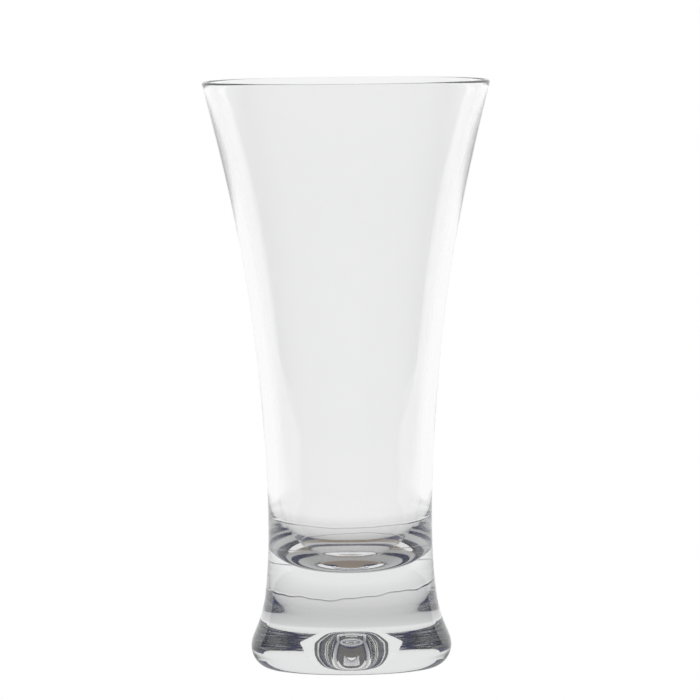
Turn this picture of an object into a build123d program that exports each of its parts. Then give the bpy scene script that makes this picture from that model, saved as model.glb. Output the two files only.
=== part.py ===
from build123d import *
import math
import os

# Pint glass, hand made from clear soda-lime glass in two gathers that are fused while hot:
# a blown bowl, and a solid foot whose underside is pushed up into a shallow recess with a
# small dome in the middle.
# Millimetres, +Z up, origin at the centre of the resting face.
# Every outline is a half section in the XZ plane: the first number is a radius, the second a height.

# Driving dimensions
height = 195.0
rim_radius = 47.7            # outer radius at the lip
lip_radius = 0.85            # the fire-polished lip is a full half round
rim_flare = 14.5             # lean of the wall at the lip, degrees from upright
waist_radius = 27.2          # narrowest outer radius
waist_height = 48.0
seam_height = 29.1           # where the bowl's glass meets the foot's glass on the outside
seam_radius = 27.98
seam_lean = 5.6              # lean of the flank at the seam, degrees from upright
seat_height = 24.0           # lowest point of the bowl's rounded bottom, on the axis
cavity_floor = 31.7          # lowest point inside the bowl, on the axis
cavity_radius = 23.55        # inner radius where the round bottom meets the wall
cavity_shoulder = 62.5       # height of that join
foot_radius = 33.2           # widest outer radius of the foot
foot_edge_radius = 7.6       # rounding between the flank and the underside
shoulder_radius = 9.5        # rounding above the widest line
shoulder_turn = 22.0         # how far the shoulder turns inwards, degrees
ring_width = 3.4             # the flat ring that the glass stands on
recess_height = 5.1          # height of the recess where the dome rises from it
recess_radius = 10.8         # radius of that place
dome_height = 9.8            # highest point of the dome, on the axis


def leaning(degrees):
    """Direction that points up and leans away from the axis by some degrees."""
    return (math.sin(math.radians(degrees)), math.cos(math.radians(degrees)))


lip_height = height - lip_radius
outer_rim = (rim_radius, lip_height)
inner_rim = (rim_radius - 2 * lip_radius, lip_height)
lip_top = (rim_radius - lip_radius, height)
seam = (seam_radius, seam_height)
seat = (0, seat_height)
floor_centre = (0, cavity_floor)
cavity_side = (cavity_radius, cavity_shoulder)

# Bowl: rounded bottom, upright waist and a wall that flares and thins towards the lip
with BuildPart() as bowl:
    with BuildSketch(Plane.XZ):
        with BuildLine():
            TangentArc(seat, seam, tangent=(1, 0))
            Spline(
                seam,
                (waist_radius, waist_height),
                (29.2, 90),
                (33.0, 124),
                (38.5, 155),
                outer_rim,
                tangents=[leaning(-seam_lean), leaning(rim_flare)],
            )
            ThreePointArc(outer_rim, lip_top, inner_rim)
            Spline(
                inner_rim,
                (35.2, 155),
                (29.1, 122),
                (25.3, 89),
                cavity_side,
                tangents=[leaning(rim_flare + 180), leaning(181)],
            )
            Spline(
                cavity_side,
                (21.3, 45.2),
                (14.9, 35.2),
                floor_centre,
                tangents=[leaning(181), (-1, 0)],
            )
            Line(floor_centre, seat)
        make_face()
    revolve(axis=Axis.Z)
bowl.part.label = "bowl"

# Foot: solid glass under the bowl, widest near the table, with a domed recess underneath
edge_centre = (foot_radius - foot_edge_radius, foot_edge_radius)
shoulder_centre = (foot_radius - shoulder_radius, foot_edge_radius)
ring_outer = (edge_centre[0], 0)
ring_inner = (edge_centre[0] - ring_width, 0)
dome_top = (0, dome_height)
with BuildPart() as foot:
    with BuildSketch(Plane.XZ):
        with BuildLine():
            Spline(
                dome_top,
                (5.7, 8.9),
                (8.5, 6.95),
                (recess_radius, recess_height),
                (15.6, 2.4),
                ring_inner,
                tangents=[(1, 0), (1, -0.5)],
            )
            Line(ring_inner, ring_outer)
            CenterArc(edge_centre, foot_edge_radius, -90, 90)
            shoulder = CenterArc(shoulder_centre, shoulder_radius, 0, shoulder_turn)
            Spline(
                shoulder @ 1,
                (30.5, 16.1),
                (28.8, 22.5),
                seam,
                tangents=[shoulder % 1, leaning(-seam_lean)],
            )
            TangentArc(seat, seam, tangent=(1, 0))
            Line(seat, dome_top)
        make_face()
    revolve(axis=Axis.Z)
foot.part.label = "foot"

os.makedirs("parts", exist_ok=True)
export_step(bowl.part, "parts/bowl.step")
export_step(foot.part, "parts/foot.step")
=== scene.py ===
import math
import bpy
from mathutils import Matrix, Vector


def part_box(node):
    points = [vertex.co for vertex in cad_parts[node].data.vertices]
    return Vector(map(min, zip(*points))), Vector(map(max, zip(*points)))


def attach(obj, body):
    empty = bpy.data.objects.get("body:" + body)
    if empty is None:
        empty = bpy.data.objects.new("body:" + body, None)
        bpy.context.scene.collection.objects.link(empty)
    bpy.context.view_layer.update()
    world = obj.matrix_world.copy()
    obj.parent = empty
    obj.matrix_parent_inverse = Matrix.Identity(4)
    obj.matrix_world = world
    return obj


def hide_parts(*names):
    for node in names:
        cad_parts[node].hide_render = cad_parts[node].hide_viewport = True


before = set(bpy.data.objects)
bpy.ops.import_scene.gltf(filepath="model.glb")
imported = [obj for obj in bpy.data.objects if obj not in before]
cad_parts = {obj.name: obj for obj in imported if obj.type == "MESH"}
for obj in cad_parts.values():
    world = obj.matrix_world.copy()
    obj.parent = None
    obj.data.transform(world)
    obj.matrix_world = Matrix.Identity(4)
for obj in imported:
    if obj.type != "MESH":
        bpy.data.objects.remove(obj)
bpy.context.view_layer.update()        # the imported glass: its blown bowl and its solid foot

MM = 0.001

# The frame gives the overall sizes
bowl_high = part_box("bowl")[1]
foot_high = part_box("foot")[1]
height = bowl_high.z
rim_radius = bowl_high.x
foot_radius = foot_high.x

# The glassmaker's own sizes, the same as in the CAD
lip_radius = 0.85 * MM
rim_flare = 14.5
seam_radius = 27.98 * MM
seam_height = 29.1 * MM
seam_lean = 5.6
cavity_floor = 31.7 * MM
foot_edge_radius = 7.6 * MM
shoulder_radius = 9.5 * MM
shoulder_turn = 22.0
ring_width = 3.4 * MM
dome_height = 9.8 * MM

# The two pressed lines, which only the looks have
seam_depth = 0.16 * MM
seam_breadth = 0.17 * MM
seam_tilt = 3.5 * MM      # lower at the front
seam_sidelong = 1.4 * MM  # lower on the left
ledge_height = 50.7 * MM
ledge_tilt = 2.2 * MM
ledge_share = 0.4         # how deep it is, against the seam

# How finely the surface is divided
turns = 192

# Share of the front of the room's glow that is left in reflections; the rest is painted shade
mirrored_share = 0.18


def deselect():
    if bpy.context.object and bpy.context.object.mode != "OBJECT":
        bpy.ops.object.mode_set(mode="OBJECT")
    bpy.ops.object.select_all(action="DESELECT")


# ---------------------------------------------------------------- outline
def mm(*points):
    """Points of the section as (radius, level), typed in millimetres."""
    return [(radius * MM, level * MM) for radius, level in points]


def leaning(degrees):
    """Direction that points up and leans away from the axis."""
    return math.sin(math.radians(degrees)), math.cos(math.radians(degrees))


def arc(centre, radius, start, end, steps):
    """Points along an arc of the section, between two angles in degrees."""
    angles = [math.radians(start + (end - start) * step / steps) for step in range(steps + 1)]
    return [(centre[0] + radius * math.cos(a), centre[1] + radius * math.sin(a)) for a in angles]


def fine(level):
    """Spacing of the rows in the recess and the cavity floor, closest round the faint line."""
    return 0.14 * MM if 47.6 * MM < level < 53.4 * MM else 0.5 * MM


def even_rows(level):
    """Spacing of the rows down the inside of the wall."""
    return 1.5 * MM


def seam_rows(level):
    """Spacing of the rows up the wall, closer together round the pressed seam."""
    if level < 24.0 * MM:
        return 0.45 * MM
    return 0.14 * MM if level < 33.9 * MM else 1.6 * MM


def fair_line(knots, start, end, spacing):
    """Points along the fair line through the knots, as a bent batten would lie, with its ends held."""
    spans = [math.dist(a, b) for a, b in zip(knots, knots[1:])]
    slopes = [list(start)] + [[0.0, 0.0] for _ in knots[1:-1]] + [list(end)]
    for _ in range(120):
        for i in range(1, len(knots) - 1):
            near, far = spans[i - 1], spans[i]
            for axis in (0, 1):
                rise = (knots[i][axis] - knots[i - 1][axis]) * far / near
                run = (knots[i + 1][axis] - knots[i][axis]) * near / far
                held = far * slopes[i - 1][axis] + near * slopes[i + 1][axis]
                slopes[i][axis] = (3 * (rise + run) - held) / (2 * (near + far))
    line = [knots[0]]
    for i, span in enumerate(spans):
        t = 0.0
        while t < 1:
            t = min(1.0, t + spacing(line[-1][1]) / span)
            if 1 - t < 0.4 * spacing(line[-1][1]) / span:
                t = 1.0
            blend = (2 * t**3 - 3 * t**2 + 1, 3 * t**2 - 2 * t**3)
            pull = (span * (t**3 - 2 * t**2 + t), span * (t**3 - t**2))
            line.append(tuple(
                blend[0] * knots[i][axis] + blend[1] * knots[i + 1][axis]
                + pull[0] * slopes[i][axis] + pull[1] * slopes[i + 1][axis] for axis in (0, 1)))
    return line


def half_section():
    """The whole glass from the top of its dome, round the foot, up the flank, over the lip and inside."""
    edge = (foot_radius - foot_edge_radius, foot_edge_radius)
    shoulder = (foot_radius - shoulder_radius, foot_edge_radius)
    lip = (rim_radius - lip_radius, height - lip_radius)
    ring_inner = (edge[0] - ring_width, 0.0)
    recess = fair_line(
        [(0.0, dome_height), *mm((5.7, 8.9), (8.5, 6.95), (10.8, 5.1), (15.6, 2.4)), ring_inner],
        (1, 0), (0.89, -0.45), fine)
    rolled = arc(edge, foot_edge_radius, -90, 0, 26)
    turned = arc(shoulder, shoulder_radius, 0, shoulder_turn, 8)
    neck = fair_line([turned[-1], *mm((30.5, 16.1), (28.8, 22.5)), (seam_radius, seam_height)],
                     leaning(-shoulder_turn), leaning(-seam_lean), seam_rows)
    flank = fair_line(
        [neck[-1], *mm((27.2, 48), (29.2, 90), (33.0, 124), (38.5, 155)), (rim_radius, lip[1])],
        leaning(-seam_lean), leaning(rim_flare), seam_rows)
    rounded_lip = arc(lip, lip_radius, 0, 180, 14)
    inside = fair_line(
        [rounded_lip[-1], *mm((35.2, 155), (29.1, 122), (25.3, 89), (23.55, 62.5))],
        leaning(180 + rim_flare), leaning(181), even_rows)
    floor = fair_line([inside[-1], *mm((21.3, 45.2), (14.9, 35.2)), (0.0, cavity_floor)],
                      leaning(181), (-1, 0), fine)
    parts = (recess, rolled, turned, neck, flank, rounded_lip, inside, floor)
    section = [parts[0][0]]
    for part in parts:
        section += part[1:] if math.dist(part[0], section[-1]) < 0.01 * MM else part
    return section


# ---------------------------------------------------------------- turning
def turn_on_axis(name, section):
    """Pulls a chain of edges out along the section, spins it round the axis and closes seam and poles."""
    deselect()
    bpy.ops.mesh.primitive_circle_add(vertices=3, radius=MM, location=(0, 0, section[0][1]))
    piece = bpy.context.object
    piece.name = piece.data.name = name
    bpy.ops.object.transform_apply(location=True, rotation=False, scale=False)
    bpy.ops.object.mode_set(mode="EDIT")
    bpy.ops.mesh.select_all(action="SELECT")
    bpy.ops.mesh.merge(type="CENTER")
    for (radius, level), (next_radius, next_level) in zip(section, section[1:]):
        bpy.ops.mesh.extrude_vertices_move(
            TRANSFORM_OT_translate={"value": (next_radius - radius, 0, next_level - level)})
    bpy.ops.mesh.select_all(action="SELECT")
    bpy.ops.mesh.spin(steps=turns, angle=math.tau, center=(0, 0, 0), axis=(0, 0, 1))
    bpy.ops.mesh.select_all(action="SELECT")
    bpy.ops.mesh.remove_doubles(threshold=0.00001)
    bpy.ops.mesh.normals_make_consistent(inside=False)
    bpy.ops.object.mode_set(mode="OBJECT")
    bpy.ops.object.shade_smooth()
    return piece


def press_lines(piece):
    """Presses in two fine tilted lines: the seam between the two gathers, and a faint one inside the cavity.

    How strong the mark is at each point is kept as an attribute, which the glass's colour uses for a painted
    shade along the lines. The seam is shallowest at the front and back, and the faint line fades out behind."""
    pressed = piece.data.attributes.new("pressed", "FLOAT", "POINT")
    for vertex in piece.data.vertices:
        x, y, z = vertex.co
        radius = math.hypot(x, y)
        angle = math.atan2(y, x)
        sidelong, backward = math.cos(angle), math.sin(angle)
        wave = 0.35 * math.sin(5 * angle + 1.0) + 0.2 * math.sin(11 * angle)
        wave += 0.12 * math.sin(23 * angle + 2.0)
        if radius > 26.5 * MM and 22 * MM < z < 36 * MM:
            line = seam_height + seam_sidelong * sidelong + seam_tilt * backward + wave * MM
            strength = 1.0
            push = -seam_depth * (0.3 + 0.7 * abs(sidelong))
        elif 18 * MM < radius < 24 * MM and 46 * MM < z < 56 * MM:
            line = ledge_height + ledge_tilt * backward + 0.3 * wave * MM
            strength = ledge_share * min(1.0, max(0.0, 0.2 - 2 * backward))
            push = seam_depth
        else:
            continue
        mark = strength * math.exp(-((z - line) / seam_breadth) ** 2)
        vertex.co.x += push * mark * x / radius
        vertex.co.y += push * mark * y / radius
        pressed.data[vertex.index].value = mark
    piece.data.update()


# ---------------------------------------------------------------- materials
def new_material(name):
    material = bpy.data.materials.new(name)
    material.use_nodes = True
    return material, material.node_tree.nodes, material.node_tree.links


def ramp(nodes, links, value, stops):
    """Grey levels, or colours, at stated distances along a value."""
    shade = nodes.new("ShaderNodeValToRGB")
    elements = shade.color_ramp.elements
    while len(elements) > 1:
        elements.remove(elements[-1])
    for number, (position, colour) in enumerate(stops):
        element = elements[0] if number == 0 else elements.new(position)
        element.position = position
        element.color = (*colour, 1)
    links.new(value, shade.inputs["Fac"])
    return shade.outputs["Color"]


def grey(level):
    return (level, level, level)


def between(nodes, links, value, start, end, low=0.0, high=1.0):
    """A level that goes from low to high as a value goes from start to end."""
    scale = nodes.new("ShaderNodeMapRange")
    for name, number in (("From Min", start), ("From Max", end), ("To Min", low), ("To Max", high)):
        scale.inputs[name].default_value = number
    links.new(value, scale.inputs["Value"])
    return scale.outputs["Result"]


def times(nodes, links, one, other):
    product = nodes.new("ShaderNodeMath")
    product.operation = "MULTIPLY"
    links.new(one, product.inputs[0])
    links.new(other, product.inputs[1])
    return product.outputs["Value"]


def clear_glass():
    """Soda-lime glass: clear, faintly grey through its depth, with painted shade along its pressed lines,
    rippled by hand work, worn where it stands.
    """
    material, nodes, links = new_material("clear_glass")
    shader = nodes["Principled BSDF"]
    shader.inputs["Transmission Weight"].default_value = 1
    # painted shade: the glass's colour goes near black along the pressed lines, though the glass there is
    # clear
    pressed = nodes.new("ShaderNodeAttribute")
    pressed.attribute_name = "pressed"
    colour_with_painted_seam_shade = ramp(nodes, links, pressed.outputs["Fac"], [(0.0, grey(0.985)), (0.9, (0.10, 0.10, 0.12))])
    links.new(colour_with_painted_seam_shade, shader.inputs["Base Color"])
    shader.inputs["IOR"].default_value = 1.5
    place = nodes.new("ShaderNodeTexCoord").outputs["Object"]
    level = nodes.new("ShaderNodeSeparateXYZ")
    links.new(place, level.inputs[0])
    ripple = nodes.new("ShaderNodeTexNoise")
    ripple.inputs["Scale"].default_value = 420.0
    ripple.inputs["Detail"].default_value = 3.0
    links.new(place, ripple.inputs["Vector"])
    fades = between(nodes, links, level.outputs["Z"], 0.030, 0.060, 0.22, 0.05)
    outwards = nodes.new("ShaderNodeCombineXYZ")
    links.new(level.outputs["X"], outwards.inputs["X"])
    links.new(level.outputs["Y"], outwards.inputs["Y"])
    radius = nodes.new("ShaderNodeVectorMath")
    radius.operation = "LENGTH"
    links.new(outwards.outputs["Vector"], radius.inputs[0])
    smoother = between(nodes, links, radius.outputs["Value"], 0.011, 0.017, 0.12, 1.0)
    raised = nodes.new("ShaderNodeBump")
    raised.inputs["Distance"].default_value = 0.00004
    links.new(times(nodes, links, fades, smoother), raised.inputs["Strength"])
    links.new(ripple.outputs["Fac"], raised.inputs["Height"])
    links.new(raised.outputs["Normal"], shader.inputs["Normal"])
    scuffs = nodes.new("ShaderNodeTexNoise")
    scuffs.inputs["Scale"].default_value = 900.0
    scuffs.inputs["Detail"].default_value = 6.0
    links.new(place, scuffs.inputs["Vector"])
    stands = between(nodes, links, level.outputs["Z"], 0.0, 0.0005, 0.5, 0.0)
    links.new(times(nodes, links, scuffs.outputs["Fac"], stands), shader.inputs["Roughness"])
    depth = nodes.new("ShaderNodeVolumeAbsorption")
    depth.inputs["Color"].default_value = (0.0, 0.02, 0.02, 1)
    depth.inputs["Density"].default_value = 3.0
    links.new(depth.outputs["Volume"], nodes["Material Output"].inputs["Volume"])
    return material


def glow(name, colour, strength):
    material, nodes, links = new_material(name)
    nodes.remove(nodes["Principled BSDF"])
    light = nodes.new("ShaderNodeEmission")
    light.inputs["Color"].default_value = (*colour, 1)
    light.inputs["Strength"].default_value = strength
    links.new(light.outputs["Emission"], nodes["Material Output"].inputs["Surface"])
    return material


def dim_when_mirrored(nodes, links, forward, reach):
    """Paints shade on the front of the room, away from the glass, in light that has already been mirrored
    once.
    """
    mirrored = between(nodes, links, nodes.new("ShaderNodeLightPath").outputs["Glossy Depth"], 0, 1)
    room = times(nodes, links, between(nodes, links, forward, 0.25, 0.0),
                 between(nodes, links, reach, 0.20, 0.27))
    left = between(nodes, links, times(nodes, links, mirrored, room), 0, 1, 1.0, mirrored_share)
    links.new(left, nodes["Emission"].inputs["Strength"])


def white_skirting():
    """The pale foot of the wall, all round the room."""
    material = glow("white_skirting", (1, 1, 1), 1.0)
    nodes, links = material.node_tree.nodes, material.node_tree.links
    place = nodes.new("ShaderNodeTexCoord").outputs["Object"]
    apart = nodes.new("ShaderNodeSeparateXYZ")
    links.new(place, apart.inputs[0])
    reach = nodes.new("ShaderNodeVectorMath")
    reach.operation = "LENGTH"
    links.new(place, reach.inputs[0])
    # painted shade: the front of the skirting is dimmed in light already mirrored once
    dim_when_mirrored(nodes, links, apart.outputs["Y"], reach.outputs["Value"])
    return material


def painted_shade_table():
    """A glowing white table painted as if lit from behind: painted shade fades it in front of the glass, and
    a painted brown shadow lies in the foot's own shade.
    """
    material = glow("painted_shade_table", (1, 1, 1), 1.0)
    nodes, links = material.node_tree.nodes, material.node_tree.links
    place = nodes.new("ShaderNodeTexCoord").outputs["Object"]
    apart = nodes.new("ShaderNodeSeparateXYZ")
    links.new(place, apart.inputs[0])
    reach = nodes.new("ShaderNodeVectorMath")
    reach.operation = "LENGTH"
    links.new(place, reach.inputs[0])
    # painted shade: the table glows darker in front of the glass and close to it, full white behind and far
    # off
    behind = ramp(nodes, links, apart.outputs["Y"],
                  [(0.0, grey(0.43)), (0.07, grey(0.78)), (0.16, grey(1.0))])
    around = ramp(nodes, links, reach.outputs["Value"], [(0.15, grey(0.0)), (0.35, grey(1.0))])
    # painted shadow: brown under the foot
    painted_foot_shadow = ramp(nodes, links, reach.outputs["Value"], [(0.020, (0.30, 0.26, 0.22)), (0.026, grey(1.0))])
    lighter = nodes.new("ShaderNodeMix")
    lighter.data_type = "RGBA"
    lighter.blend_type = "LIGHTEN"
    lighter.inputs["Factor"].default_value = 1.0
    links.new(behind, lighter.inputs["A"])
    links.new(around, lighter.inputs["B"])
    shaded = nodes.new("ShaderNodeMix")
    shaded.data_type = "RGBA"
    shaded.blend_type = "DARKEN"
    shaded.inputs["Factor"].default_value = 1.0
    links.new(lighter.outputs["Result"], shaded.inputs["A"])
    links.new(painted_foot_shadow, shaded.inputs["B"])
    links.new(shaded.outputs["Result"], nodes["Emission"].inputs["Color"])
    # painted shade: the front of the table is dimmed in light already mirrored once
    dim_when_mirrored(nodes, links, apart.outputs["Y"], reach.outputs["Value"])
    return material


# ---------------------------------------------------------------- studio
def round_top(name, below, material):
    """A wide round table top, a little below the glass."""
    deselect()
    bpy.ops.mesh.primitive_circle_add(vertices=96, radius=9.0, fill_type="NGON", location=(0, 0, -below))
    top = bpy.context.object
    top.name = top.data.name = name
    bpy.ops.object.transform_apply(location=True)
    top.data.materials.append(material)
    return top


def panel(name, centre, size, turn, material):
    """A flat panel, turned by so many degrees about each axis."""
    deselect()
    turned = [math.radians(angle) for angle in turn]
    bpy.ops.mesh.primitive_plane_add(size=1, location=centre, rotation=turned)
    sheet = bpy.context.object
    sheet.name = sheet.data.name = name
    sheet.scale = (*size, 1)
    bpy.ops.object.transform_apply(location=True, rotation=True, scale=True)
    sheet.data.materials.append(material)
    return sheet


def studio():
    """A white wall and skirting, a dim ceiling with one soft panel, and grey-blue surroundings.

    There are two table tops: a plain white one that is seen directly, and one with painted shade and a
    painted shadow that is seen only in and through the glass."""
    table = round_top("table", 0.5 * MM, painted_shade_table())
    table.visible_camera = False
    shown_top = round_top("white_top", 0.6 * MM, glow("white_top", (1, 1, 1), 1.0))
    shown_top.visible_glossy = False
    shown_top.visible_transmission = False
    deselect()
    bpy.ops.mesh.primitive_cylinder_add(vertices=96, radius=8.9, depth=0.3, end_fill_type="NOTHING",
                                        location=(0, 0, 0.15))
    skirting = bpy.context.object
    skirting.name = "skirting"
    skirting.visible_glossy = False
    skirting.data.materials.append(white_skirting())
    wall = panel("wall", (0, 8.0, 3.0), (20, 12), (90, 0, 0), glow("white_wall", (1, 1, 1), 1.0))
    olive_grey = glow("dim_ceiling", (0.18, 0.175, 0.165), 1.0)
    ceiling = panel("ceiling", (0, 4.5, 9.5), (22, 9), (0, 0, 0), olive_grey)
    softbox = panel("softbox", (0, 3.2, 8.0), (5.0, 3.0), (20, 0, 0), glow("softbox", (1, 1, 1), 0.9))
    room = bpy.data.worlds.new("room")
    room.use_nodes = True
    room.node_tree.nodes["Background"].inputs["Color"].default_value = (0.080, 0.086, 0.142, 1)
    bpy.context.scene.world = room


def camera():
    """A long lens a little above the lip, aimed at the middle of the glass, and held a touch off level."""
    deselect()
    distance = 2.6
    aim = Vector((0.0005, 0, 0.1056))
    place = Vector((0.0005, -distance, height + distance * math.tan(math.radians(1.5))))
    bpy.ops.object.camera_add(location=place)
    eye = bpy.context.object
    eye.rotation_euler = (aim - place).to_track_quat("-Z", "Y").to_euler()
    eye.rotation_euler.rotate_axis("Z", math.radians(-0.57))
    eye.data.sensor_width = 36
    eye.data.lens = 36 * (aim - place).length / 0.23205
    bpy.context.scene.camera = eye


def finish_of_light():
    """Enough bounces for light that is caught inside the thick foot, and plain colours."""
    scene = bpy.context.scene
    scene.view_settings.view_transform = "Standard"
    scene.cycles.max_bounces = 48
    scene.cycles.glossy_bounces = 48
    scene.cycles.transmission_bounces = 48


glass = turn_on_axis("pint_glass", half_section())
press_lines(glass)
glass.data.materials.append(clear_glass())
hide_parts("bowl", "foot")
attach(glass, "root")
studio()
camera()
finish_of_light()
